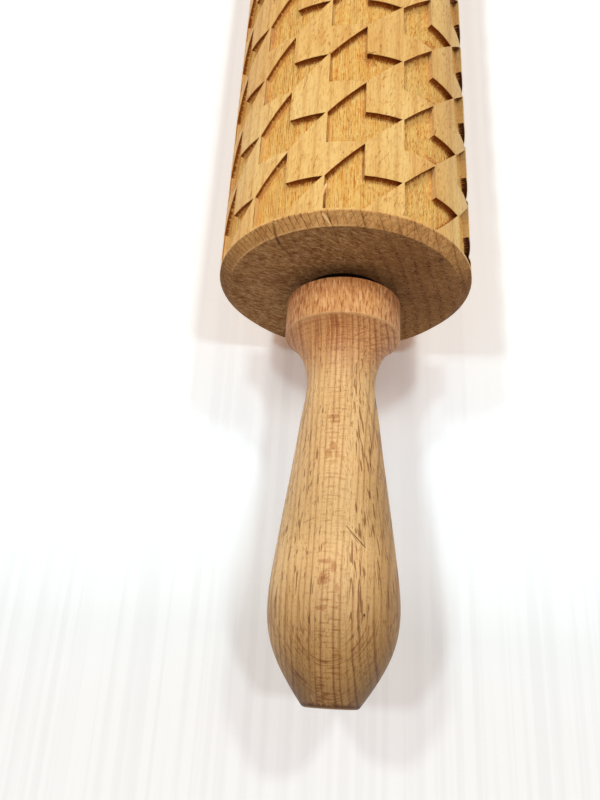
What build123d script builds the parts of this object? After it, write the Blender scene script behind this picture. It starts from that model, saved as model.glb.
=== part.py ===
from build123d import *
import math
import os

os.makedirs("parts", exist_ok=True)

# Embossed rolling pin, lying on its side.
# X runs along the axle, Z is up, and the origin is on the axle at the middle of the barrel.
# All sizes are in millimetres.

# Barrel
barrel_diameter = 60.0
barrel_length = 250.0
edge_chamfer_in = 2.6
edge_chamfer_along = 2.05
edge_land = 0.35

# Houndstooth relief, cut into the barrel
repeats_round = 11
relief_depth = 1.5
bridge_width = 0.2
first_row_offset = 2.6
first_column_angle = 22.0
cutter_overrun = 1.0

# Axle
rod_diameter = 8.0
rod_chamfer = 0.6
rod_bore_clearance = 1.0

# Bushes, one pressed into each end of the barrel
bush_sleeve_diameter = 14.0
bush_sleeve_length = 20.0
bush_flange_diameter = 20.0
bush_flange_thickness = 2.0
bush_lead_in = 0.5

# Washers, one between each bush and its handle
washer_diameter = 18.0
washer_edge = 0.3

# Handles
handle_length = 88.0
collar_diameter = 26.8
collar_length = 9.0
collar_edge = 0.3
neck_diameter = 15.6
belly_diameter = 26.7
tip_diameter = 10.8
tip_edge = 1.0
rod_depth_in_handle = 62.0
bore_spare_depth = 2.0

# Fits and gaps
end_gap = 2.9
washer_float = 0.2
running_clearance = 0.06
glued_clearance = 0.04
pressed_clearance = 0.02

# The raised check and the sunk one have this outline, in half pitches:
# the first number runs round the barrel, the second along it, inwards from the +X end.
houndstooth_shares = [(0, 0), (1, 0), (2, 1), (1, 1), (1, 2), (0, 1)]
houndstooth_width_share = 2

# Grip outline behind the collar: how far along the grip, and how far from one radius to the next.
cove_shares = [(0.06, 0.275), (0.11, 0.05)]
neck_share = 0.17
swell_shares = [(0.24, 0.125), (0.33, 0.285), (0.44, 0.49), (0.56, 0.715), (0.68, 0.925)]
belly_share = 0.78
taper_shares = [(0.86, 0.85), (0.93, 0.5)]

barrel_radius = barrel_diameter / 2
floor_radius = barrel_radius - relief_depth
half_barrel = barrel_length / 2
rod_radius = rod_diameter / 2
collar_radius = collar_diameter / 2
neck_radius = neck_diameter / 2
belly_radius = belly_diameter / 2
tip_radius = tip_diameter / 2
collar_start = half_barrel + end_gap
rod_length = 2 * (collar_start + rod_depth_in_handle)
sides = (("left", -1), ("right", 1))


# One sunk check, as a cutter standing at the top of the barrel.
# Its sides point at the axle, so it is narrower at its foot.
half_pitch = math.pi * barrel_diameter / repeats_round / 2
half_pitch_angle = math.pi / repeats_round
cutter_foot = floor_radius * math.cos(half_pitch_angle) - cutter_overrun
cutter_top = barrel_radius + cutter_overrun

with BuildPart() as check_cutter:
    for height in (cutter_foot, cutter_top):
        outline = [
            (height * math.tan((across - houndstooth_width_share / 2) * half_pitch_angle), along * half_pitch)
            for across, along in houndstooth_shares
        ]
        with BuildSketch(Plane(origin=(0, 0, height), x_dir=(0, 1, 0), z_dir=(0, 0, 1))):
            Polygon(*outline, align=None)
            offset(amount=-bridge_width / 2, kind=Kind.INTERSECTION)
    loft(ruled=True)
    Cylinder(
        radius=floor_radius,
        height=barrel_length,
        rotation=(0, 90, 0),
        mode=Mode.SUBTRACT,
    )


# All the sunk checks: rows from the +X end, each of them going right round.
# They stop at the plain land beside the chamfer at both ends.
relief_length = barrel_length - 2 * (edge_chamfer_along + edge_land)
pitch_angle = 360 / repeats_round
column_angles = [first_column_angle + (column + 0.5) * pitch_angle for column in range(repeats_round)]
row_count = math.ceil((barrel_length - first_row_offset) / (2 * half_pitch))
row_starts = [half_barrel - first_row_offset - row * 2 * half_pitch for row in range(row_count)]

with BuildPart() as sunk_checks:
    with Locations(*[Location((x, 0, 0), (-angle, 0, 0)) for x in row_starts for angle in column_angles]):
        add(check_cutter.part)
    Cylinder(
        radius=cutter_top * 2,
        height=relief_length,
        rotation=(0, 90, 0),
        mode=Mode.INTERSECT,
    )


# Barrel: a turned cylinder with chamfered ends, bored through for the rod.
with BuildPart() as barrel:
    with BuildSketch(Plane.XZ):
        with BuildLine():
            Polyline(
                (-half_barrel, 0),
                (-half_barrel, barrel_radius - edge_chamfer_in),
                (edge_chamfer_along - half_barrel, barrel_radius),
                (half_barrel - edge_chamfer_along, barrel_radius),
                (half_barrel, barrel_radius - edge_chamfer_in),
                (half_barrel, 0),
                close=True,
            )
        make_face()
    revolve(axis=Axis.X)
    Cylinder(
        radius=rod_radius + rod_bore_clearance,
        height=barrel_length,
        rotation=(0, 90, 0),
        mode=Mode.SUBTRACT,
    )
    for side, direction in sides:
        with Locations(Plane(origin=(direction * half_barrel, 0, 0), z_dir=(direction, 0, 0))):
            CounterBoreHole(
                radius=bush_sleeve_diameter / 2 + pressed_clearance,
                counter_bore_radius=bush_flange_diameter / 2 + pressed_clearance,
                counter_bore_depth=bush_flange_thickness,
                depth=bush_sleeve_length,
            )
    add(sunk_checks.part, mode=Mode.SUBTRACT)
barrel.part.label = "barrel"
export_step(barrel.part, "parts/barrel.step")


# Axle rod, right through the barrel and into both handles.
with BuildPart() as axle_rod:
    Cylinder(radius=rod_radius, height=rod_length, rotation=(0, 90, 0))
    chamfer(axle_rod.edges().filter_by(GeomType.CIRCLE), length=rod_chamfer)
axle_rod.part.label = "axle_rod"
export_step(axle_rod.part, "parts/axle_rod.step")


# Flanged bushes, flush with the barrel's end faces.
for side, direction in sides:
    with BuildPart() as bush:
        with BuildSketch(Plane(origin=(direction * half_barrel, 0, 0), z_dir=(-direction, 0, 0))):
            Circle(bush_flange_diameter / 2)
        extrude(amount=bush_flange_thickness)
        with BuildSketch(Plane(origin=(direction * half_barrel, 0, 0), z_dir=(-direction, 0, 0))):
            Circle(bush_sleeve_diameter / 2)
        extrude(amount=bush_sleeve_length)
        inner_end = bush.faces().sort_by(Axis.X)[0 if direction > 0 else -1]
        chamfer(inner_end.edges(), length=bush_lead_in)
        with Locations(Plane(origin=(direction * half_barrel, 0, 0), z_dir=(direction, 0, 0))):
            Hole(radius=rod_radius + running_clearance, depth=bush_sleeve_length)
    bush.part.label = f"{side}_bush"
    export_step(bush.part, f"parts/{side}_bush.step")


# Washers that keep the handles off the barrel.
washer_thickness = end_gap - washer_float
for side, direction in sides:
    with BuildPart() as washer:
        with BuildSketch(Plane(origin=(direction * collar_start, 0, 0), z_dir=(-direction, 0, 0))):
            Circle(washer_diameter / 2)
            Circle(rod_radius + running_clearance, mode=Mode.SUBTRACT)
        extrude(amount=washer_thickness)
        rims = washer.edges().filter_by(GeomType.CIRCLE).sort_by(SortBy.RADIUS)[-2:]
        chamfer(rims, length=washer_edge)
    washer.part.label = f"{side}_washer"
    export_step(washer.part, f"parts/{side}_washer.step")


# Turned handles: a collar, a cove down to the neck, a long swell to the belly and a short taper.
grip_length = handle_length - collar_length
cove_points = [(share, neck_radius + rise * (collar_radius - neck_radius)) for share, rise in cove_shares]
swell_points = [(share, neck_radius + rise * (belly_radius - neck_radius)) for share, rise in swell_shares]
taper_points = [(share, tip_radius + rise * (belly_radius - tip_radius)) for share, rise in taper_shares]
grip_outline = (
    [(0, collar_radius)]
    + cove_points
    + [(neck_share, neck_radius)]
    + swell_points
    + [(belly_share, belly_radius)]
    + taper_points
    + [(1, tip_radius)]
)

for side, direction in sides:
    tip = collar_start + handle_length
    grip_start = collar_start + collar_length
    with BuildPart() as handle:
        with BuildSketch(Plane.XZ):
            with BuildLine():
                Polyline(
                    (direction * tip, tip_radius),
                    (direction * tip, 0),
                    (direction * collar_start, 0),
                    (direction * collar_start, collar_radius - collar_edge),
                    (direction * (collar_start + collar_edge), collar_radius),
                    (direction * grip_start, collar_radius),
                )
                Spline(*[(direction * (grip_start + share * grip_length), radius) for share, radius in grip_outline])
            make_face()
        revolve(axis=Axis.X)
        tip_rim = handle.faces().sort_by(Axis.X)[-1 if direction > 0 else 0].edges()
        fillet(tip_rim, radius=tip_edge)
        with Locations(Plane(origin=(direction * collar_start, 0, 0), z_dir=(-direction, 0, 0))):
            Hole(radius=rod_radius + glued_clearance, depth=rod_depth_in_handle + bore_spare_depth)
    handle.part.label = f"{side}_handle"
    export_step(handle.part, f"parts/{side}_handle.step")
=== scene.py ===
import math
import random

import bpy
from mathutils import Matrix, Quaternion, Vector


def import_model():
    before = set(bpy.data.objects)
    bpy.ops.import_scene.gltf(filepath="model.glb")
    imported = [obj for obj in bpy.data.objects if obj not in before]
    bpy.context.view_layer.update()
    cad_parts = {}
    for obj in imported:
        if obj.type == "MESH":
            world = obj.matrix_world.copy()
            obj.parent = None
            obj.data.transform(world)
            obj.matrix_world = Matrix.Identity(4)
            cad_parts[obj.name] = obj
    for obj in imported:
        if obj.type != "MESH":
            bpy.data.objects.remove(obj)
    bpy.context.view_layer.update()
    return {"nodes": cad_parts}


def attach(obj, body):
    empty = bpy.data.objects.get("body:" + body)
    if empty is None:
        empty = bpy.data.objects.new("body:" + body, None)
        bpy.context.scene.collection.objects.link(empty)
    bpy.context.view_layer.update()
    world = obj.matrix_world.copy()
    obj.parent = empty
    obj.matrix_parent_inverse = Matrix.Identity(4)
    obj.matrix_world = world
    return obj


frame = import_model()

# X runs along the axle and Z is up. The origin is on the axle, at the middle of the barrel.
# These sizes, in metres, are what the looks follow. They repeat the ones in part.py.
MM = 0.001
BARREL_RADIUS = 30 * MM
FLOOR_RADIUS = 28.5 * MM
HALF_BARREL = 125 * MM
CHAMFER_ALONG = 2.05 * MM
CHAMFER_IN = 2.6 * MM
CHAMFER_START = HALF_BARREL - CHAMFER_ALONG
RELIEF_END = HALF_BARREL - 2.4 * MM
REPEATS_ROUND = 11
HALF_PITCH = math.pi * 60 * MM / REPEATS_ROUND / 2
HALF_PITCH_ANGLE = math.pi / REPEATS_ROUND
FIRST_ROW_OFFSET = 2.6 * MM
FIRST_ROW = HALF_BARREL - FIRST_ROW_OFFSET
ROWS = math.ceil((2 * HALF_BARREL - FIRST_ROW_OFFSET) / (2 * HALF_PITCH))
FIRST_COLUMN = math.radians(22.0)
GRIP_START = 136.9 * MM
TIP = 215.9 * MM
TABLE = -30 * MM

# The corners of a sunk check, in half pitches across and along. With each goes the way along the
# barrel that the wall from there to the next corner faces, or 0 if the wall faces round it.
CHECK = (((0, 0), -1), ((1, 0), -1), ((2, 1), 1), ((1, 1), 0), ((1, 2), 1), ((0, 1), 0))

# Spacings in the wood: the growth rings, and the passes of the cutter over a floor.
BARREL_RING_PITCH = 3.1 * MM
HANDLE_RING_PITCH = 1.18 * MM
CUTTER_PASS_PITCH = 0.52 * MM

# How deep the root of a torn fibre is sunk in the floor, in a wall or in the barrel's surface.
FLOOR_ROOT = 0.03 * MM
WALL_ROOT = 0.04 * MM
SURFACE_ROOT = 0.06 * MM

# Faces of the small closed forms, as places in the list of a form's corners.
# A spike has a corner on each side of its root, one above or behind them, and its tip.
SPIKE = ((0, 1, 2), (0, 3, 1), (1, 3, 2), (2, 3, 0))
RIM_FIBRE = ((0, 1, 2), (0, 2, 4), (2, 1, 3), (2, 3, 4), (0, 4, 3), (0, 3, 1))


def rgb(red, green, blue):
    """An sRGB colour of 0 to 255 as Blender's linear colour."""
    shares = [c / 255 for c in (red, green, blue)]
    return (*(c / 12.92 if c <= 0.04045 else ((c + 0.055) / 1.055) ** 2.4 for c in shares), 1.0)


class Graph:
    """A node tree that is filled with short calls. Most of them give back an output socket."""

    def __init__(self, tree):
        self.tree = tree
        self.tree.nodes.clear()

    def put(self, value, socket):
        """Links an output socket to an input, or sets the input to a plain value."""
        if isinstance(value, bpy.types.NodeSocket):
            self.tree.links.new(value, socket)
        else:
            socket.default_value = value

    def node(self, kind, values=(), **settings):
        """A new node. The values go to its first inputs, in their order."""
        made = self.tree.nodes.new(kind)
        for key, value in settings.items():
            setattr(made, key, value)
        for value, socket in zip(values, made.inputs):
            self.put(value, socket)
        return made

    def math(self, operation, *values):
        return self.node("ShaderNodeMath", values, operation=operation).outputs[0]

    def chain(self, operation, first, *others):
        """One operation from value to value: the first two, then that with the third, and so on."""
        for other in others:
            first = self.math(operation, first, other)
        return first

    def add(self, *values):
        return self.chain("ADD", *values)

    def sub(self, a, b):
        return self.math("SUBTRACT", a, b)

    def mul(self, *values):
        return self.chain("MULTIPLY", *values)

    def most(self, *values):
        return self.chain("MAXIMUM", *values)

    def inv(self, value):
        return self.sub(1.0, value)

    def absolute(self, value):
        return self.math("ABSOLUTE", value)

    def length(self, *values):
        """The root of the sum of the values' squares."""
        return self.math("SQRT", self.add(*(self.mul(value, value) for value in values)))

    def phase(self, value, pitch):
        """How far a value is past the last whole number of pitches, from 0 to 1."""
        return self.math("FRACT", self.mul(value, 1 / pitch))

    def step(self, value, low, high):
        """0 up to low and 1 from high on, smooth between them. With low above high it falls instead."""
        made = self.node("ShaderNodeMapRange", [value, low, high], interpolation_type="SMOOTHSTEP")
        return made.outputs["Result"]

    def vector(self, x, y, z):
        return self.node("ShaderNodeCombineXYZ", [x, y, z]).outputs[0]

    def vector_math(self, operation, *values):
        made = self.node("ShaderNodeVectorMath", values, operation=operation)
        return made.outputs["Value" if operation in ("DOT_PRODUCT", "DISTANCE", "LENGTH") else "Vector"]

    def noise(self, vector, detail=2.0, rough=0.5):
        made = self.node("ShaderNodeTexNoise", [vector])
        made.inputs["Scale"].default_value = 1.0
        made.inputs["Detail"].default_value = detail
        made.inputs["Roughness"].default_value = rough
        return made.outputs["Fac"]

    def ramp(self, value, stops):
        """Blends from stop to stop. Each one is a place and a colour, or a place and a grey."""
        made = self.node("ShaderNodeValToRGB", [value])
        elements = made.color_ramp.elements
        while len(elements) < len(stops):
            elements.new(0.5)
        for element, (place, colour) in zip(elements, stops):
            element.position = place
            element.color = colour if isinstance(colour, tuple) else (colour, colour, colour, 1)
        return made.outputs[0]

    def mix(self, amount, a, b, blend="MIX"):
        made = self.node("ShaderNodeMix", [amount], data_type="RGBA", blend_type=blend)
        self.put(a, made.inputs[6])
        self.put(b, made.inputs[7])
        return made.outputs[2]

    def cover(self, colour, where, tone, share):
        """Lays tone over colour where it is told to, as far as share says."""
        return self.mix(self.mul(where, share), colour, tone)

    def darken(self, colour, where, tone, share=None):
        """Multiplies colour by tone where it is told to, as far as share says."""
        amount = where if share is None else self.mul(where, share)
        return self.mix(amount, colour, tone, "MULTIPLY")

    def bump(self, height, strength, distance, below=None):
        made = self.node("ShaderNodeBump")
        made.inputs["Strength"].default_value = strength
        made.inputs["Distance"].default_value = distance
        self.put(height, made.inputs["Height"])
        if below is not None:
            self.put(below, made.inputs["Normal"])
        return made.outputs[0]


class Material(Graph):
    """One material's nodes. x, y and z are a place on the object, in the shared frame."""

    def __init__(self, name):
        self.material = bpy.data.materials.new(name)
        self.material.use_nodes = True
        super().__init__(self.material.node_tree)
        self.shader = self.node("ShaderNodeBsdfPrincipled")
        self.node("ShaderNodeOutputMaterial", [self.shader.outputs[0]])
        self.place = self.node("ShaderNodeTexCoord").outputs["Object"]
        self.x, self.y, self.z = self.node("ShaderNodeSeparateXYZ", [self.place]).outputs

    def stretch(self, x, y, z, vector=None):
        """The place on the object, or another vector, times x, y and z. It sets how fine a noise is."""
        return self.vector_math("MULTIPLY", vector or self.place, (x, y, z))

    def finish(self, colour, rough, normal=None, **fixed):
        self.put(colour, self.shader.inputs["Base Color"])
        self.put(rough, self.shader.inputs["Roughness"])
        if normal is not None:
            self.put(normal, self.shader.inputs["Normal"])
        for key, value in fixed.items():
            self.shader.inputs[key.replace("_", " ")].default_value = value
        return self.material


def stroke(g, flat, start, stop, half, soft):
    """1 along a straight line on flat coordinates and 0 away from it. All its sizes are in millimetres."""
    start, stop = Vector((*start, 0)) * MM, Vector((*stop, 0)) * MM
    run = stop - start
    off = g.vector_math("SUBTRACT", flat, start)
    along = g.vector_math("DOT_PRODUCT", off, run / run.length_squared)
    along = g.math("MINIMUM", g.most(along, 0.0), 1.0)
    gap = g.vector_math("DISTANCE", off, g.vector_math("MULTIPLY", run, along))
    return g.inv(g.step(gap, (half - soft / 2) * MM, (half + soft / 2) * MM))


def blot(g, flat, middle, size, ragged):
    """1 inside an oval on flat coordinates and 0 outside it, with a ragged edge. Sizes in millimetres."""
    off = g.vector_math("SUBTRACT", flat, Vector((*middle, 0)) * MM)
    gap = g.vector_math("LENGTH", g.stretch(1 / size[0] / MM, 1 / size[1] / MM, 0.0, off))
    return g.inv(g.step(g.add(gap, g.mul(g.sub(ragged, 0.5), 1.6)), 0.7, 1.2))


def barrel_wood():
    """Beech with a cut relief. arc is the way round the barrel from its top, and -Y is the left side."""
    g = Material("barrel_beech")
    radius = g.length(g.y, g.z)
    arc = g.mul(g.math("ARCTAN2", g.y, g.z), BARREL_RADIUS)
    unrolled = g.vector(g.x, arc, 0.0)
    reach = g.absolute(g.x)
    end_face = g.step(reach, HALF_BARREL - 0.10 * MM, HALF_BARREL - 0.03 * MM)
    end_band = g.mul(g.step(reach, RELIEF_END, RELIEF_END + 0.2 * MM), g.inv(end_face))
    turned_end = g.most(end_face, end_band)
    floor = g.inv(g.step(radius, FLOOR_RADIUS + 0.06 * MM, FLOOR_RADIUS + 0.16 * MM))
    face = g.step(radius, BARREL_RADIUS - 0.16 * MM, BARREL_RADIUS - 0.10 * MM)

    # Growth rings: wide arcs round a pith that lies off to one side and drifts along the barrel.
    warp = g.sub(g.noise(g.stretch(7, 55, 55)), 0.5)
    pith = g.length(g.add(g.y, 150 * MM), g.add(g.z, 45 * MM))
    pith = g.add(g.mul(warp, 3.0 * MM), g.mul(g.x, 0.010), pith)
    turn = g.phase(pith, BARREL_RING_PITCH)
    ring = g.ramp(turn, [(0.0, 0.9), (0.06, 0.35), (0.25, 0.04), (0.75, 0.16), (1.0, 0.9)])

    # Raised faces: sanded and pale, with short slanting flecks.
    cloud = g.noise(g.stretch(18, 70, 70), 3)
    patch = g.noise(g.stretch(90, 260, 260))
    fibre = g.noise(g.stretch(130, 5200, 5200), 2, 0.6)
    fleck = g.step(g.noise(g.stretch(420, 3300, 3300), 1, 0.4), 0.58, 0.70)
    slanted = g.vector(g.sub(g.x, g.mul(arc, 0.2)), g.add(arc, g.mul(g.x, 0.34)), 0.0)
    mottle = g.noise(g.stretch(430, 1900, 0, slanted), 2, 0.6)
    sparse = g.add(0.35, g.mul(g.step(g.noise(g.stretch(70, 190, 190)), 0.42, 0.60), 0.65))
    curl = g.noise(g.stretch(750, 1500, 1500), 2, 0.6)
    streak = g.noise(g.stretch(95, 2300, 2300), 3, 0.6)
    raised = g.ramp(cloud, [(0.30, rgb(239, 189, 110)),
                            (0.52, rgb(251, 208, 128)),
                            (0.72, rgb(255, 220, 146))])
    raised = g.darken(raised, ring, rgb(202, 158, 104), 0.42)
    raised = g.darken(raised, fleck, rgb(200, 146, 84), 0.22)
    raised = g.darken(raised, g.mul(g.step(mottle, 0.56, 0.68), sparse), rgb(206, 156, 84), 0.85)
    raised = g.darken(raised, g.step(curl, 0.54, 0.68), rgb(214, 166, 98), 0.30)
    raised = g.darken(raised, g.step(streak, 0.50, 0.68), rgb(218, 174, 120), 0.18)
    raised = g.cover(raised, g.step(streak, 0.48, 0.32), rgb(255, 224, 154), 0.24)
    raised = g.darken(raised, g.step(patch, 0.52, 0.74), rgb(226, 184, 126), 0.30)
    # Painted shade: the raised faces darken down the left side. They are also a little darker along the top
    # and down the right.
    raised = g.darken(raised, g.step(g.absolute(arc), 0.016, 0.008), rgb(250, 250, 249))
    raised = g.darken(raised, g.step(arc, -0.019, -0.031), rgb(246, 240, 239))
    raised = g.darken(raised, g.step(arc, 0.016, 0.026), rgb(248, 251, 253))

    # Cut floor: scorched gold, torn along the grain. The cutter's passes rule it, most of all on the
    # left, and on the right it is furry.
    groove = g.noise(g.stretch(110, 1150, 1150), 3, 0.6)
    thread = g.noise(g.stretch(750, 2900, 2900), 3, 0.7)
    slit = g.noise(g.stretch(160, 3500, 3500), 2, 0.6)
    wander = g.noise(g.stretch(60, 300, 0, unrolled))
    pass_line = g.math("FRACT", g.add(g.mul(arc, 1 / CUTTER_PASS_PITCH), g.mul(wander, 2.2)))
    pass_line = g.ramp(pass_line, [(0.0, 0.0), (0.34, 0.15), (0.5, 1.0), (0.66, 0.15), (1.0, 0.0)])
    pass_line = g.mul(pass_line, g.step(g.noise(g.stretch(130, 900, 0, unrolled)), 0.34, 0.60))
    furry = g.step(arc, 0.004, 0.012)
    ruled = g.add(g.sub(0.66, g.mul(furry, 0.45)), g.mul(g.step(arc, -0.004, -0.012), 0.30))
    leaning = g.vector(g.x, g.add(arc, g.mul(g.x, 0.35)), 0.0)
    fur = g.noise(g.stretch(620, 2100, 0, leaning), 3, 0.65)
    sunk = g.ramp(groove, [(0.28, rgb(238, 172, 76)),
                           (0.42, rgb(255, 199, 102)),
                           (0.55, rgb(255, 209, 117)),
                           (0.72, rgb(255, 214, 134))])
    sunk = g.darken(sunk, g.step(thread, 0.52, 0.66), rgb(214, 150, 84), 0.68)
    sunk = g.darken(sunk, g.step(slit, 0.54, 0.68), rgb(208, 142, 74), 0.46)
    sunk = g.darken(sunk, pass_line, rgb(200, 134, 66), ruled)
    sunk = g.darken(sunk, g.step(fur, 0.52, 0.66), rgb(198, 140, 74), g.mul(furry, 0.65))
    sunk = g.cover(sunk, g.step(fur, 0.46, 0.36), rgb(255, 226, 146), g.mul(furry, 0.5))
    sunk = g.cover(sunk, g.step(slit, 0.46, 0.34), rgb(255, 222, 138), 0.40)
    sunk = g.cover(sunk, g.step(thread, 0.48, 0.34), rgb(255, 230, 152), 0.66)
    sunk = g.darken(sunk, ring, rgb(200, 150, 96), 0.22)

    # Walls that face along the barrel are burnt, with pale fibre ends standing at their foot.
    # Walls that face round it look like the floor, with a thin burnt line at the top.
    comb = g.noise(g.stretch(150, 2300, 0, unrolled), 3, 0.6)
    # Painted light: on the left side the walls are painted paler, and their burn starts higher up.
    painted_light_left = g.step(arc, -0.009, -0.020)
    uneven = g.mul(g.step(comb, 0.46, 0.72), g.sub(1.05 * MM, g.mul(painted_light_left, 0.45 * MM)))
    foot = g.add(FLOOR_RADIUS, uneven, g.mul(painted_light_left, 0.44 * MM))
    char = g.step(g.sub(radius, foot), -0.18 * MM, 0.40 * MM)
    strand = g.noise(g.stretch(300, 5200, 350, g.vector(g.x, arc, radius)), 2, 0.6)
    burnt = g.ramp(strand, [(0.3, rgb(124, 50, 0)), (0.6, rgb(142, 68, 2)), (0.8, rgb(176, 102, 24))])
    low_down = g.inv(g.step(radius, FLOOR_RADIUS + 0.1 * MM, FLOOR_RADIUS + 1.3 * MM))
    burnt = g.cover(burnt, low_down, rgb(182, 112, 34), 0.70)
    burnt = g.cover(burnt, painted_light_left, rgb(186, 116, 40), 0.16)
    # Painted shade: the burnt walls darken near the right outline.
    painted_shade_right = g.mul(g.step(arc, 0.029, 0.036), g.step(arc, 0.080, 0.060))
    burnt = g.darken(burnt, painted_shade_right, rgb(150, 136, 90))
    facing = g.node("ShaderNodeNewGeometry").outputs["True Normal"]
    facing_x = g.node("ShaderNodeSeparateXYZ", [facing]).outputs["X"]
    faces_along = g.step(g.absolute(facing_x), 0.35, 0.6)
    plain = g.mix(0.6, sunk, rgb(226, 188, 130))
    # Walls that face along the barrel are darker, except on the left side, where painted light makes them
    # paler.
    plain = g.darken(plain, faces_along, rgb(214, 158, 90), g.mul(g.inv(painted_light_left), 0.70))
    plain = g.cover(plain, faces_along, rgb(248, 198, 110), g.mul(painted_light_left, 0.60))
    brink = g.step(radius, BARREL_RADIUS - 0.45 * MM, BARREL_RADIUS - 0.25 * MM)
    brink = g.mul(brink, g.step(comb, 0.35, 0.55))
    plain = g.darken(plain, brink, rgb(168, 112, 62), g.sub(0.7, g.mul(furry, 0.6)))
    wall = g.mix(g.mul(char, faces_along), plain, burnt)
    skin = g.mix(floor, wall, sunk)
    skin = g.mix(face, skin, raised)

    # Scratches on the right half: where each starts and stops, and half its width.
    scratches = (((117.4, -5.40), (122.0, -5.46), 0.09),
                 ((79.0, 2.6), (79.6, 4.0), 0.10),
                 ((79.7, 3.2), (78.8, 4.9), 0.09),
                 ((80.0, 2.3), (79.7, 3.7), 0.10))
    marks = g.most(*(stroke(g, unrolled, start, stop, half, 0.22) for start, stop, half in scratches))
    skin = g.darken(skin, marks, rgb(138, 84, 40), g.mul(g.step(g.x, 0.05, 0.06), 0.85))

    # End grain: darker, with flecks that slant across the rings and fine pores in rows.
    # down and over are y and z, turned by 24 degrees.
    right_half = g.step(g.y, -0.006, 0.014)
    down = g.mul(g.sub(g.y, g.mul(g.z, 0.45)), 0.912)
    over = g.mul(g.add(g.z, g.mul(g.y, 0.45)), 0.912)
    sliver = g.noise(g.stretch(900, 720, 2000, g.vector(g.x, down, over)), 3, 0.7)
    pore = g.noise(g.stretch(2400, 2100, 1700), 1)
    calm = g.inv(g.mul(right_half, 0.45))
    grain = g.noise(g.stretch(60, 150, 150), 3)
    grain = g.ramp(grain, [(0.3, rgb(168, 118, 66)), (0.7, rgb(198, 146, 88))])
    grain = g.darken(grain, g.step(sliver, 0.51, 0.64), rgb(170, 126, 84), g.mul(calm, 0.78))
    grain = g.cover(grain, g.step(sliver, 0.48, 0.35), rgb(232, 190, 140), g.mul(calm, 0.72))
    grain = g.darken(grain, ring, rgb(150, 108, 72), g.add(0.12, g.mul(right_half, 0.24)))
    in_rows = g.mul(right_half, g.step(ring, 0.05, 0.3), 0.75)
    grain = g.darken(grain, g.step(pore, 0.56, 0.68), rgb(128, 84, 50), g.add(0.25, in_rows))
    grain = g.darken(grain, right_half, rgb(240, 232, 226), 0.7)

    # Chamfer: lighter, and ruled by rings and rays. It darkens down the sides, like the end grain.
    def rays(lean, wave, pitch):
        """Thin lines across the chamfer. Those with a lean above 0 go one way, the others the other."""
        place = g.add(g.mul(radius, lean), g.mul(warp, wave), arc)
        return g.ramp(g.phase(place, pitch), [(0.0, 1.0), (0.15, 0.0), (0.91, 0.0), (1.0, 1.0)])

    right_side = g.step(g.y, -0.005, 0.002)
    ring_line = g.ramp(turn, [(0.0, 1.0), (0.07, 0.25), (0.16, 0.0), (0.92, 0.0), (1.0, 1.0)])
    crossed = g.add(g.mul(rays(0.60, 3.0 * MM, 2.0 * MM), 0.50),
                    g.mul(rays(-0.75, -4.0 * MM, 2.3 * MM), 0.40))
    lines = g.most(g.mul(rays(0.30, 2.6 * MM, 1.42 * MM), g.inv(g.mul(right_side, 0.85))),
                   g.mul(ring_line, g.mul(right_side, 0.80)),
                   g.mul(rays(-1.1, -5.0 * MM, 3.9 * MM), 0.35),
                   g.mul(crossed, right_side))
    unbroken = g.step(g.noise(g.stretch(400, 500, 500)), 0.36, 0.58)
    lines = g.mul(lines, g.add(0.45, g.mul(unbroken, 0.55)))
    band = g.noise(g.stretch(240, 360, 360))
    band = g.ramp(band, [(0.3, rgb(216, 158, 92)), (0.7, rgb(246, 190, 118))])
    band = g.darken(band, g.step(curl, 0.50, 0.66), rgb(196, 148, 100), 0.50)
    band = g.darken(band, g.step(g.y, -0.006, -0.022), rgb(240, 238, 232))
    band = g.darken(band, lines, rgb(140, 88, 44))
    band = g.darken(band, g.step(pore, 0.57, 0.7), rgb(180, 134, 90), 0.28)
    # Painted highlight: a pale line along the chamfer's outer edge, on the left side only.
    rim = g.step(reach, HALF_BARREL - 0.45 * MM, HALF_BARREL - 0.15 * MM)
    rim = g.mul(rim, g.step(g.y, 0.006, -0.004))
    band = g.cover(band, rim, rgb(248, 200, 134), g.mul(g.step(curl, 0.40, 0.56), 0.75))
    band = g.mix(g.inv(g.step(g.z, 0.003, 0.023)), band, g.darken(grain, 1.0, rgb(230, 222, 214)))

    # A crack in the right end, in two parts, and a finer one beside it.
    disc = g.vector(g.y, g.z, 0.0)
    crack = g.most(
        g.mul(stroke(g, disc, (-16.2, 27.2), (-14.6, 20.6), 0.26, 0.5), g.step(patch, 0.20, 0.42)),
        g.mul(stroke(g, disc, (-14.6, 20.6), (-12.3, 16.2), 0.20, 0.6), 0.70),
        g.mul(stroke(g, disc, (-4.6, 29.3), (-3.0, 26.4), 0.12, 0.2), 0.8),
        g.mul(stroke(g, disc, (-3.0, 26.4), (-0.7, 15.2), 0.14, 0.4), g.mul(g.step(pore, 0.40, 0.56), 0.8)),
    )
    crack = g.mul(crack, g.step(g.x, 0.1, 0.11))
    colour = g.mix(end_face, skin, grain)
    colour = g.mix(end_band, colour, band)
    colour = g.darken(colour, crack, rgb(124, 84, 48), g.mul(turned_end, 0.8))

    rough = g.add(0.52, g.mul(g.inv(face), 0.25))
    torn = g.add(g.mul(groove, 0.6), g.mul(slit, 0.4), thread)
    sanded = g.mul(g.add(mottle, curl, g.inv(fleck)), face, 0.12)
    normal = g.bump(g.add(g.mul(torn, g.inv(face)), sanded), 0.85, 0.50 * MM)
    fine = g.add(g.mul(fibre, 0.5), g.mul(sliver, g.mul(turned_end, 1.2)))
    normal = g.bump(fine, 0.4, 0.14 * MM, normal)
    return g.finish(colour, rough, normal, Specular_IOR_Level=0.16)


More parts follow.
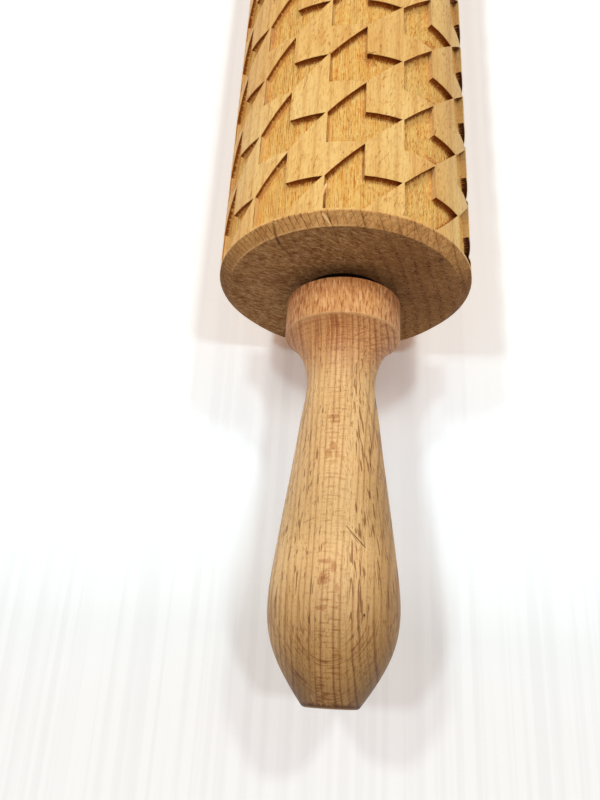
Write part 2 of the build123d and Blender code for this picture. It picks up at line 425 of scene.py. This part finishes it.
def handle_wood():
    """Beech of both handles. The collar is the disc by the barrel, and the cove is the hollow after it."""
    g = Material("handle_beech")
    reach = g.absolute(g.x)
    collar = g.inv(g.step(reach, GRIP_START + 0.1 * MM, GRIP_START + 0.4 * MM))
    cove = g.inv(g.step(reach, 0.1390, 0.1530))
    end_grain = g.step(reach, 0.1930, 0.2020)
    taper = g.step(reach, 0.186, 0.2095)
    end = g.step(reach, 0.2085, 0.2150)
    tip = g.step(reach, TIP - 0.4 * MM, TIP - 0.1 * MM)
    top = g.mul(g.step(g.z, 0.0, 0.002), g.step(g.x, 0.1, 0.11))
    flat = g.vector(g.x, g.y, 0.0)
    cloud = g.noise(g.stretch(24, 85, 85), 3)
    fibre = g.noise(g.stretch(160, 7000, 7000), 2, 0.6)

    # Growth rings stand nearly upright, so their edges run along the top as fine lines.
    warp = g.sub(g.noise(g.stretch(20, 110, 110)), 0.5)
    level = g.add(g.mul(g.y, 0.985), g.mul(g.z, 0.17))
    level = g.add(g.mul(warp, 1.7 * MM), g.mul(g.x, 0.008), level)
    ringed = g.vector(g.x, level, g.z)
    line = g.ramp(g.phase(level, HANDLE_RING_PITCH),
                  [(0.0, 1.0), (0.12, 0.6), (0.28, 0.15), (0.5, 0.0),
                   (0.78, 0.12), (0.90, 0.5), (1.0, 1.0)])
    strong = g.step(g.noise(g.stretch(34, 620, 0, ringed), 3), 0.36, 0.62)
    line = g.mul(line, g.add(0.12, g.mul(strong, 0.88)))
    hair = g.step(g.noise(g.stretch(45, 3300, 60, ringed), 2, 0.55), 0.50, 0.72)

    # Rays lie flat: short rungs along the top, and nested bowls where the belly rounds over.
    lift = g.sub(g.mul(g.z, 0.99), g.mul(g.y, 0.11))
    lift = g.add(lift, g.mul(warp, 0.5 * MM))
    lifted = g.vector(lift, g.x, g.y)
    gap = g.absolute(g.add(g.y, 1.0 * MM))
    rung = g.step(g.noise(g.stretch(2300, 330, 0, ringed), 2, 0.6), 0.50, 0.66)
    midway = g.mul(g.inv(g.step(gap, 0.0012, 0.0034)), g.add(0.62, g.mul(end_grain, 0.6)))
    rung = g.mul(rung, g.add(0.22, midway))
    sheet = g.noise(g.stretch(1700, 22, 0, lifted), 3, 0.62)
    bowl = g.inv(g.step(g.absolute(g.sub(sheet, 0.5)), 0.004, 0.034))
    unbroken = g.step(g.noise(g.stretch(150, 620, 620)), 0.34, 0.58)
    bowl = g.mul(bowl, g.mul(unbroken, g.inv(g.step(gap, 0.0045, 0.0105))))
    bowl = g.mul(bowl, g.add(0.10, g.mul(g.step(reach, 0.1990, 0.2035), 0.90)))
    tick = g.step(g.noise(g.stretch(2100, 40, 120, lifted), 2, 0.6), 0.52, 0.64)
    tick = g.mul(tick, g.step(g.noise(g.stretch(260, 700, 700)), 0.42, 0.60))
    tick = g.mul(tick, g.mul(g.step(reach, 0.1925, 0.1990), g.step(gap, 0.0015, 0.0040)))

    # Pores: dark strokes along the grain, most of them to the right of the middle.
    away = g.most(g.step(reach, 0.1985, 0.2060), cove)
    drift = g.sub(g.y, g.mul(g.x, g.mul(g.step(g.y, 0.0, 0.003), 0.07)))
    dash = g.noise(g.stretch(145, 2500, 2500, g.vector(g.x, drift, g.z)), 1, 0.4)
    busy = g.noise(g.stretch(22, 170, 170))
    crowd = g.add(g.mul(g.sub(busy, 0.5), 0.09), g.mul(g.step(g.y, -0.001, 0.004), 0.028))
    crowd = g.sub(crowd, g.mul(g.inv(g.step(gap, 0.0016, 0.0034)), 0.08))
    dash = g.mul(g.step(g.add(dash, crowd), 0.605, 0.690), g.inv(g.mul(away, 0.55)))
    speck = g.step(g.noise(g.stretch(1000, 2900, 2900), 3, 0.65), 0.52, 0.70)

    bare = g.ramp(cloud, [(0.28, rgb(225, 182, 122)),
                          (0.50, rgb(242, 201, 139)),
                          (0.74, rgb(252, 215, 156))])
    bare = g.cover(bare, g.step(fibre, 0.42, 0.78), rgb(246, 210, 152), 0.30)
    grip = g.darken(bare, line, rgb(188, 148, 96), 0.66)
    grip = g.darken(grip, g.mul(line, taper), rgb(170, 132, 90), 0.48)
    grip = g.darken(grip, hair, rgb(196, 158, 112), 0.30)
    grip = g.darken(grip, rung, rgb(196, 158, 112), 0.52)
    grip = g.darken(grip, speck, rgb(200, 162, 114), 0.60)
    grip = g.darken(grip, bowl, rgb(184, 142, 100), 0.80)
    grip = g.darken(grip, tick, rgb(176, 134, 92), 0.62)
    grip = g.darken(grip, dash, rgb(154, 118, 72), 0.78)

    # Reddish flecks on top of the right handle: the middle and the size of each, and its strength.
    ragged = g.noise(g.stretch(1300, 3000, 3000), 2, 0.6)
    flecks = (((159.5, -1.5), (0.55, 1.3), 0.60), ((160.7, -1.3), (0.40, 1.1), 0.52),
              ((166.2, -1.5), (1.10, 0.8), 0.55), ((167.9, -2.3), (0.90, 0.6), 0.55),
              ((168.2, -0.6), (1.00, 0.5), 0.45), ((190.2, -2.3), (0.45, 1.3), 0.45),
              ((191.3, -0.5), (1.10, 0.6), 0.50), ((193.4, -2.4), (1.20, 1.0), 0.60),
              ((195.0, 0.2), (0.80, 0.4), 0.45), ((198.8, -2.7), (0.35, 1.1), 0.60))
    red = g.most(*(g.mul(blot(g, flat, middle, size, ragged), strength)
                   for middle, size, strength in flecks))
    grip = g.darken(grip, g.mul(red, top), rgb(200, 148, 102))

    # Marks of use on top of the right handle: cuts, two small pits, and a pale chip near the tip.
    cuts = g.most(
        stroke(g, flat, (183.2, 1.7), (185.0, 3.4), 0.08, 0.16),
        stroke(g, flat, (184.8, 3.2), (187.0, 5.4), 0.12, 0.16),
        stroke(g, flat, (184.2, 2.4), (186.4, 4.2), 0.05, 0.12),
        g.mul(stroke(g, flat, (182.5, -6.6), (181.7, -4.6), 0.07, 0.14), 0.6),
        blot(g, flat, (199.6, 5.4), (0.30, 0.22), ragged),
        g.mul(blot(g, flat, (188.6, -5.6), (0.35, 0.25), ragged), 0.6),
        stroke(g, flat, (152.2, 7.75), (154.2, 7.95), 0.12, 0.12),
    )
    cuts = g.mul(cuts, top)
    grip = g.darken(grip, cuts, rgb(122, 88, 54), 0.88)
    chip = g.mul(stroke(g, flat, (213.7, -3.75), (214.6, -3.3), 0.16, 0.2), top)
    grip = g.cover(grip, chip, rgb(246, 214, 170), 0.75)

    # The collar: short streaks, pink at the back and paler at its front edge.
    rough_grain = g.noise(g.stretch(480, 2300, 2300), 3, 0.65)
    stripe = g.noise(g.stretch(60, 1300, 0, ringed), 2, 0.55)
    front = g.step(g.add(reach, g.mul(g.sub(stripe, 0.5), 0.008)), 0.1290, 0.1350)
    pink = g.mix(front, g.darken(bare, 1.0, rgb(216, 177, 148)), g.darken(bare, 1.0, rgb(236, 208, 182)))
    pink = g.darken(pink, g.step(g.absolute(g.y), 0.004, 0.011), rgb(236, 232, 246))
    pink = g.darken(pink, g.step(stripe, 0.50, 0.72), rgb(200, 150, 114), 0.55)
    pink = g.darken(pink, g.step(rough_grain, 0.48, 0.66), rgb(190, 142, 104), 0.85)
    pink = g.cover(pink, g.step(rough_grain, 0.47, 0.32), rgb(255, 216, 160), 0.50)
    arris = g.mul(g.step(reach, GRIP_START - 0.4 * MM, GRIP_START - 0.1 * MM), collar)
    pink = g.cover(pink, arris, rgb(250, 214, 164), g.mul(g.step(rough_grain, 0.42, 0.6), 0.30))

    # The cove: redder, with lathe marks round it, broad stripes, and slanting hatches on the right.
    lathe = g.noise(g.stretch(2300, 60, 60), 2, 0.6)
    lathe = g.most(g.step(lathe, 0.50, 0.66), g.mul(rung, 0.4))
    hatch = g.vector(g.add(g.x, g.mul(g.y, 0.55)), g.y, g.z)
    hatch = g.step(g.noise(g.stretch(2400, 260, 60, hatch), 2, 0.6), 0.48, 0.62)
    hatch = g.mul(hatch, g.step(g.y, 0.001, 0.004))
    ruddy = g.darken(grip, 1.0, rgb(234, 204, 184))
    ruddy = g.darken(ruddy, g.step(stripe, 0.48, 0.62), rgb(196, 150, 114), 0.70)
    ruddy = g.darken(ruddy, line, rgb(186, 138, 102), 0.40)
    ruddy = g.darken(ruddy, lathe, rgb(206, 164, 132), 0.42)
    ruddy = g.darken(ruddy, g.step(rough_grain, 0.50, 0.68), rgb(198, 156, 124), 0.45)
    ruddy = g.darken(ruddy, hatch, rgb(190, 148, 114), 0.62)

    # Broad tones: painted shade on the right side and over the swell of the belly, painted light that makes
    # the left side paler, a darker taper, and the darker rounded edge of the tip.
    grip = g.darken(grip, g.step(g.y, 0.003, 0.010), rgb(226, 218, 203))
    # Painted shade over the swell of the belly.
    swell = g.mul(g.step(reach, 0.168, 0.178), g.step(reach, 0.190, 0.181))
    grip = g.darken(grip, swell, rgb(239, 238, 233), 0.85)
    # Painted light: the left side a little paler.
    painted_light_side = g.mul(g.step(g.y, -0.003, -0.009), g.step(reach, 0.186, 0.170))
    grip = g.cover(grip, painted_light_side, rgb(236, 210, 176), 0.08)
    wood = g.cover(grip, cove, ruddy, 0.9)
    wood = g.mix(collar, wood, pink)
    wood = g.darken(wood, taper, rgb(188, 175, 152), 0.9)
    wood = g.darken(wood, end, rgb(222, 218, 220), 0.9)
    corner = g.mul(g.step(reach, 0.203, 0.213), g.step(g.absolute(g.y), 0.0015, 0.0065))
    wood = g.darken(wood, corner, rgb(222, 220, 214))
    edge = g.step(g.add(reach, g.mul(g.sub(ragged, 0.5), 1.2 * MM)), TIP - 1.1 * MM, TIP - 0.4 * MM)
    wood = g.darken(wood, edge, rgb(150, 122, 98), 0.90)
    wood = g.cover(wood, tip, rgb(176, 134, 86), 0.55)

    rough = g.add(0.46, g.mul(fibre, 0.16))
    height = g.add(g.mul(g.inv(dash), 0.5), g.mul(fibre, 0.4))
    height = g.sub(height, g.mul(cuts, 1.2))
    height = g.add(height, g.mul(rough_grain, g.most(collar, cove), 1.2))
    normal = g.bump(height, 0.4, 0.10 * MM)
    normal = g.bump(g.mul(lathe, cove), 0.3, 0.06 * MM, normal)
    return g.finish(wood, rough, normal, Specular_IOR_Level=0.36)


def steel():
    """Drawn steel, with fine lines along the rod."""
    g = Material("drawn_steel")
    draw = g.noise(g.stretch(30, 9000, 9000), 2, 0.6)
    colour = g.ramp(draw, [(0.3, rgb(150, 150, 152)), (0.7, rgb(198, 198, 200))])
    rough = g.add(0.24, g.mul(draw, 0.18))
    return g.finish(colour, rough, g.bump(draw, 0.2, 0.03 * MM), Metallic=1.0)


def nylon(name, dark, light):
    """Turned nylon, with fine rings round the axle."""
    g = Material(name)
    turned = g.noise(g.vector(g.mul(g.length(g.y, g.z), 5200), 0.0, 0.0), 1)
    speck = g.noise(g.stretch(2400, 2400, 2400))
    colour = g.ramp(speck, [(0.35, dark), (0.7, light)])
    normal = g.bump(g.add(g.mul(turned, 0.6), g.mul(speck, 0.4)), 0.3, 0.04 * MM)
    return g.finish(colour, g.add(0.5, g.mul(speck, 0.15)), normal, Specular_IOR_Level=0.35)


def fibre_wood(name, dark, light, left=None):
    """Torn wood. On the barrel's left side its fibres can have a lighter colour of their own, painted light
    as on the walls there.
    """
    g = Material(name)
    strand = g.noise(g.stretch(400, 5200, 5200), 2, 0.6)
    colour = g.ramp(strand, [(0.3, dark), (0.7, light)])
    if left is not None:
        angle = g.math("ARCTAN2", g.y, g.z)
        colour = g.mix(g.step(angle, -0.30, -0.67), colour, left)
    return g.finish(colour, 0.7, g.bump(strand, 0.4, 0.05 * MM), Specular_IOR_Level=0.2)


def new_object(name, points, faces, material):
    """An object with a mesh of its own, in the scene."""
    mesh = bpy.data.meshes.new(name)
    mesh.from_pydata(points, [], faces)
    mesh.validate()
    mesh.update()
    mesh.materials.append(material)
    made = bpy.data.objects.new(name, mesh)
    bpy.context.scene.collection.objects.link(made)
    return made


def piece(name, points, faces, material, body):
    made = new_object(name, points, faces, material)
    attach(made, body)


def add_form(points, faces, corners, pattern):
    """Adds one small closed form to the points and faces of a piece."""
    base = len(points)
    points += corners
    faces += [tuple(base + n for n in face) for face in pattern]


def round_point(x, angle, radius):
    """A point at an angle from the top and a radius from the axle."""
    return (x, radius * math.sin(angle), radius * math.cos(angle))


def tangent(across):
    """A place across a check in half pitches, as the tangent of its angle from the check's middle."""
    return (across - 1) * math.tan(HALF_PITCH_ANGLE)


def relief_point(column, row, across, along, height):
    """A point on a check: a tangent across, half pitches along, and a height above the floor."""
    middle = FIRST_COLUMN + (2 * column + 1) * HALF_PITCH_ANGLE
    x = FIRST_ROW - (2 * row + along) * HALF_PITCH
    return Vector(round_point(x, middle + math.atan(across), FLOOR_RADIUS + height))


def checks():
    """The row and the column of each check on the barrel."""
    return ((row, column) for row in range(ROWS) for column in range(REPEATS_ROUND))


def wall_runs():
    """Each wall of a sunk check that faces along the barrel: its two ends and the way that it faces."""
    for (start, facing), (stop, _) in zip(CHECK, CHECK[1:] + CHECK[:1]):
        if facing:
            yield (tangent(start[0]), start[1]), (tangent(stop[0]), stop[1]), facing


def on_floor(across, along):
    """Whether a place in half pitches is on the sunk check and clear of its walls."""
    clear = 0.06
    side = along < 1 and along + clear < across < 1.0 + along - clear
    square = clear < across < 1 - clear and clear < along < 1 - clear
    end = 1 - clear < along < 1 + across - 0.1 and across < 1 - clear
    return (side or square or end) and 0.0 < along < 1.9 and across <= 1.85


def fibres(name, material, spacing, reach, rise, width, seed):
    """Spikes that lie on the floor, with their roots in a wall that faces along the barrel.

    reach, rise and width are the least and the most of their length, and of their root's height and width.
    """
    chance = random.Random(seed)
    missing = 0.12
    points, faces = [], []
    for row, column in checks():
        for start, stop, facing in wall_runs():
            run_across, run_along = stop[0] - start[0], stop[1] - start[1]
            count = int(math.hypot(run_across * FLOOR_RADIUS, run_along * HALF_PITCH) / spacing)
            for n in range(count):
                share = (n + chance.uniform(0.1, 0.9)) / count
                if chance.random() < missing:
                    continue
                across = start[0] + run_across * share
                along = start[1] + run_along * share
                root = relief_point(column, row, across, along, 0.0)
                long = chance.uniform(*reach)
                if abs(root.x) > RELIEF_END - 0.2 * MM:
                    continue
                if abs(root.x + facing * long) > RELIEF_END - 0.1 * MM:
                    continue
                half = chance.uniform(*width) / 2 / FLOOR_RADIUS
                lean = chance.uniform(-0.6, 0.6) * half
                high = chance.uniform(*rise)
                in_wall = along + facing * WALL_ROOT / HALF_PITCH
                tip = along - facing * long / HALF_PITCH
                add_form(points, faces, [
                    relief_point(column, row, across - half, in_wall, -FLOOR_ROOT),
                    relief_point(column, row, across + half, in_wall, -FLOOR_ROOT),
                    relief_point(column, row, across, in_wall, high),
                    relief_point(column, row, across + lean, tip, 0.02 * MM),
                ], SPIKE)
    piece(name, points, faces, material, "barrel")


def floor_hairs(name, material, count, seed):
    """Thin spikes that lie across the cut floors, torn up by the cutter."""
    chance = random.Random(seed)
    points, faces = [], []
    for row, column in checks():
        for n in range(count):
            across, along = chance.uniform(0.05, 1.95), chance.uniform(0.05, 1.95)
            if not on_floor(across, along):
                continue
            middle = tangent(across)
            if abs(relief_point(column, row, middle, along, 0.0).x) > RELIEF_END - 1.2 * MM:
                continue
            long = chance.uniform(0.35, 1.1) * MM / HALF_PITCH
            wide = chance.uniform(0.04, 0.09) * MM / FLOOR_RADIUS
            bend = chance.uniform(-0.35, 0.35) * long * HALF_PITCH / FLOOR_RADIUS
            rise = chance.uniform(0.06, 0.28) * MM
            way = chance.choice((-1, 1))
            add_form(points, faces, [
                relief_point(column, row, middle - wide, along, -FLOOR_ROOT),
                relief_point(column, row, middle + wide, along, -FLOOR_ROOT),
                relief_point(column, row, middle, along, 0.07 * MM),
                relief_point(column, row, middle + bend, along + way * long, rise),
            ], SPIKE)
    piece(name, points, faces, material, "barrel")


def splinter(name, spine, material):
    """A closed sliver of wood that lies along the barrel's surface, over its chamfer too.

    Each point of the spine is x, the angle from the top in degrees, half the width and the height.
    Its lengths are in millimetres.
    """
    points, faces = [], []
    for x, angle, half, height in spine:
        past = max(0.0, x * MM - HALF_BARREL + CHAMFER_ALONG)
        surface = BARREL_RADIUS - past * CHAMFER_IN / CHAMFER_ALONG
        for side, lift in ((-1, -SURFACE_ROOT), (0, height * MM), (1, -SURFACE_ROOT)):
            place = math.radians(angle) + side * half * MM / BARREL_RADIUS
            points.append(round_point(x * MM, place, surface + lift))
    last = len(points) - 3
    for n in range(0, last, 3):
        faces += [(n, n + 1, n + 4, n + 3), (n + 1, n + 2, n + 5, n + 4), (n + 2, n, n + 3, n + 5)]
    faces += [(0, 2, 1), (last, last + 1, last + 2)]
    piece(name, points, faces, material, "barrel")


def rim_fibres(name, material, count, seed):
    """Thin closed slivers that lie on the land beside the chamfer at both ends and reach over its edge."""
    chance = random.Random(seed)
    tip_off_chamfer = 0.06 * MM
    points, faces = [], []
    for end in (-1, 1):
        for n in range(count):
            angle = chance.uniform(0, 2 * math.pi)
            lean = chance.uniform(-0.010, 0.010)
            half = chance.uniform(0.05, 0.12) * MM / BARREL_RADIUS
            over = chance.uniform(0.10, 0.80) * MM
            back = chance.uniform(0.20, 0.60) * MM
            drop = over * CHAMFER_IN / CHAMFER_ALONG - tip_off_chamfer
            corners = (
                (-back, -half, -0.05 * MM),
                (-back, half, -0.05 * MM),
                (-back / 2, 0, -0.005 * MM),
                (0.1 * MM, half + lean / 2, -0.20 * MM),
                (over, lean, -drop),
            )
            add_form(points, faces, [
                round_point(end * (CHAMFER_START + along), angle + turn, BARREL_RADIUS + lift)
                for along, turn, lift in corners
            ], RIM_FIBRE)
    piece(name, points, faces, material, "barrel")


def tuft(name, place, size, count, seed, material):
    """A tuft of torn fibres on the relief. Its place is x in millimetres and the angle from the top."""
    chance = random.Random(seed)
    points, faces = [], []
    x, angle = place[0] * MM, math.radians(place[1])
    root = FLOOR_RADIUS - 0.05 * MM
    top = BARREL_RADIUS - 0.03 * MM
    for n in range(count):
        foot_x = x + chance.uniform(-1, 1) * size * MM / 2
        foot_angle = angle + chance.uniform(-1, 1) * size * MM / BARREL_RADIUS
        half = chance.uniform(0.06, 0.13) * MM
        long = chance.uniform(0.5, 1.3) * MM
        way = chance.uniform(-0.9, 0.9)
        high = chance.uniform(top - 0.7 * MM, top)
        corners = (
            (0, half, root),
            (0, -half, root),
            (-half, 0, root),
            (long * math.cos(way), long * math.sin(way), high),
        )
        add_form(points, faces, [
            round_point(foot_x + along, foot_angle + turn / BARREL_RADIUS, radius)
            for along, turn, radius in corners
        ], SPIKE)
    piece(name, points, faces, material, "barrel")


def stage_floor():
    """A pale table. Only camera, glossy and transmission rays see its tints and its weak glow. The glow
    changes along the table and is painted light that lifts the shadows near the pin.
    """
    g = Material("pale_table")
    path = g.node("ShaderNodeLightPath").outputs
    seen = g.most(path["Is Camera Ray"], path["Is Glossy Ray"], path["Is Transmission Ray"])
    stripe = g.noise(g.stretch(4, 360, 1))
    along = g.mul(g.sub(g.absolute(g.x), 0.12), 10)
    pale_top = g.ramp(along, [(0.4, (0.71, 0.92, 0.99, 1.0)), (1.0, (0.71, 0.84, 0.88, 1.0))])
    pale_top = g.darken(pale_top, g.step(stripe, 0.58, 0.40), (0.94, 0.945, 0.95, 1.0))
    # Painted light: the glow is set along the table so that the shadows beside the barrel and the handles
    # come out lighter.
    glow = g.ramp(along, [(0.05, (0.385, 0.225, 0.18, 1.0)),
                          (0.35, (0.33, 0.21, 0.19, 1.0)),
                          (0.62, (0.305, 0.195, 0.17, 1.0)),
                          (0.80, (0.22, 0.11, 0.08, 1.0)),
                          (1.0, (0.23, 0.11, 0.08, 1.0))])

    # Right under the barrel and the collars the glow is dimmer and redder, for the contact shadow.
    close = g.mul(g.step(g.y, 0.025, 0.017), g.step(g.y, -0.023, -0.014))
    close = g.mul(close, g.step(g.absolute(g.x), 0.150, 0.132))
    glow = g.mix(close, glow, (0.18, 0.040, 0.0, 1.0))

    # Far from the pin both tints turn into one even tone.
    far = g.step(g.length(g.x, g.y), 0.25, 0.44)
    pale_top = g.mix(far, pale_top, (0.84, 0.92, 0.95, 1.0))
    glow = g.mix(far, glow, (0.33, 0.25, 0.22, 1.0))
    g.put(glow, g.shader.inputs["Emission Color"])
    g.put(seen, g.shader.inputs["Emission Strength"])
    g.finish(g.mix(seen, rgb(214, 218, 228), pale_top), 0.8, Specular_IOR_Level=0.0)

    half, count = 3.0, 24
    wide = count + 1
    points = [(half * (2 * i / count - 1), half * (2 * j / count - 1), TABLE)
              for j in range(wide) for i in range(wide)]
    starts = [j * wide + i for j in range(count) for i in range(count)]
    faces = [(n, n + 1, n + wide + 1, n + wide) for n in starts]
    made = new_object("table_top", points, faces, g.material)


def world():
    """A plain world: white where it is seen, dimmer and a little warm where it lights the pin."""
    made = bpy.data.worlds.new("studio")
    made.use_nodes = True
    g = Graph(made.node_tree)
    path = g.node("ShaderNodeLightPath").outputs
    seen = g.most(path["Is Camera Ray"], path["Is Transmission Ray"])
    colour = g.mix(seen, rgb(252, 247, 242), (1.0, 1.0, 1.0, 1.0))
    strength = g.node("ShaderNodeMapRange", [seen, 0.0, 1.0, 0.38, 1.0]).outputs["Result"]
    light = g.node("ShaderNodeBackground", [colour, strength])
    g.node("ShaderNodeOutputWorld", [light.outputs[0]])
    bpy.context.scene.world = made


def sun(name, towards, strength, spread, colour):
    """A soft lamp that shines from the direction towards. Its spread is in degrees."""
    lamp = bpy.data.lights.new(name, "SUN")
    lamp.energy = strength
    lamp.angle = math.radians(spread)
    lamp.color = colour[:3]
    made = bpy.data.objects.new(name, lamp)
    made.rotation_mode = "QUATERNION"
    made.rotation_quaternion = Vector(towards).to_track_quat("Z", "Y")
    bpy.context.scene.collection.objects.link(made)


def camera(place, target, roll, lens):
    """The photograph's view, from the fit to it. The roll is in degrees."""
    data = bpy.data.cameras.new("camera")
    data.sensor_fit = "VERTICAL"
    data.sensor_height = 36.0
    data.sensor_width = 36.0
    data.lens = lens
    data.clip_start = 0.01
    viewer = bpy.data.objects.new("camera", data)
    viewer.rotation_mode = "QUATERNION"
    viewer.location = place
    aim = (Vector(target) - Vector(place)).to_track_quat("-Z", "Y")
    viewer.rotation_quaternion = aim @ Quaternion((0, 0, 1), math.radians(roll))
    bpy.context.scene.collection.objects.link(viewer)
    bpy.context.scene.camera = viewer


# The solids: wood, steel and nylon.
beech = barrel_wood()
grip = handle_wood()
finishes = {
    "barrel": beech,
    "left_handle": grip,
    "right_handle": grip,
    "axle_rod": steel(),
    "left_bush": nylon("bush_black_nylon", rgb(22, 20, 18), rgb(40, 36, 33)),
    "left_washer": nylon("washer_brown_nylon", rgb(38, 28, 20), rgb(60, 46, 34)),
}
finishes["right_bush"] = finishes["left_bush"]
finishes["right_washer"] = finishes["left_washer"]
for name, material in finishes.items():
    for holder in frame["nodes"][name].material_slots:
        holder.material = material

# Torn wood on the barrel: fibres at the foot of its walls, hairs on its floors, splinters and tufts.
torn = fibre_wood("torn_fibre", rgb(216, 146, 68), rgb(248, 194, 112))
fibres("relief_fibres", torn, 0.60 * MM,
       (0.30 * MM, 0.80 * MM), (0.05 * MM, 0.22 * MM), (0.12 * MM, 0.22 * MM), 3)
# On the barrel's left side the scorched fibres take a lighter colour, which is painted light.
scorched = fibre_wood("scorched_fibre", rgb(134, 66, 2), rgb(178, 106, 30), rgb(222, 158, 82))
fibres("scorched_fibres", scorched, 0.28 * MM,
       (0.25 * MM, 1.15 * MM), (0.06 * MM, 0.22 * MM), (0.12 * MM, 0.26 * MM), 5)
floor_hairs("floor_hairs", fibre_wood("floor_hair", rgb(232, 176, 94), rgb(255, 218, 140)), 70, 11)
pale = fibre_wood("split_wood", rgb(242, 188, 122), rgb(255, 216, 156))
splinter("chamfer_splinter", [(121.6, -11.6, 0.14, 0.02),
                              (122.7, -11.2, 0.34, 0.05),
                              (123.4, -10.3, 0.46, 0.14),
                              (124.2, -8.9, 0.38, 0.14),
                              (124.95, -7.3, 0.14, 0.03)], pale)
splinter("check_splinter", [(116.0, -9.4, 0.10, 0.01),
                            (116.7, -9.9, 0.40, 0.06),
                            (117.5, -10.6, 0.34, 0.05),
                            (119.4, -11.1, 0.16, 0.03),
                            (121.5, -11.3, 0.12, 0.02)], pale)
splinter("chamfer_lip", [(122.5, -34.6, 0.10, 0.02),
                         (122.9, -32.4, 0.34, 0.10),
                         (123.3, -31.0, 0.10, 0.04)], pale)
rim_fibres("rim_fibres", fibre_wood("rim_fibre", rgb(232, 180, 108), rgb(255, 220, 150)), 420, 17)
tufts = (((80.7, 7.2), 1.4, 26), ((67.9, 39.0), 1.6, 30), ((69.6, 41.5), 1.6, 26),
         ((102.6, 37.5), 1.8, 26), ((86.0, 38.5), 1.4, 18))
for n, (place, size, count) in enumerate(tufts):
    tuft(f"tuft_{n}", place, size, count, 31 + n, pale)

# The stage: a pale table, a plain world and four soft lamps.
stage_floor()
world()
white = rgb(255, 252, 249)
sun("left_lamp", (0.00, -0.47, 1.0), 0.62, 5.5, white)
sun("right_lamp", (0.05, 0.37, 1.0), 0.60, 5.5, white)
sun("back_left_lamp", (-0.35, -0.46, 1.0), 0.56, 5.5, white)
sun("back_right_lamp", (-0.45, 0.34, 1.0), 0.56, 5.5, white)

# The camera looks down on the collar from above the tip of the right handle.
camera((0.211880, -0.003018, 0.145549), (0.152484, -0.009130, 0.0), -3.1, 31.296)
bpy.context.scene.view_settings.view_transform = "Standard"
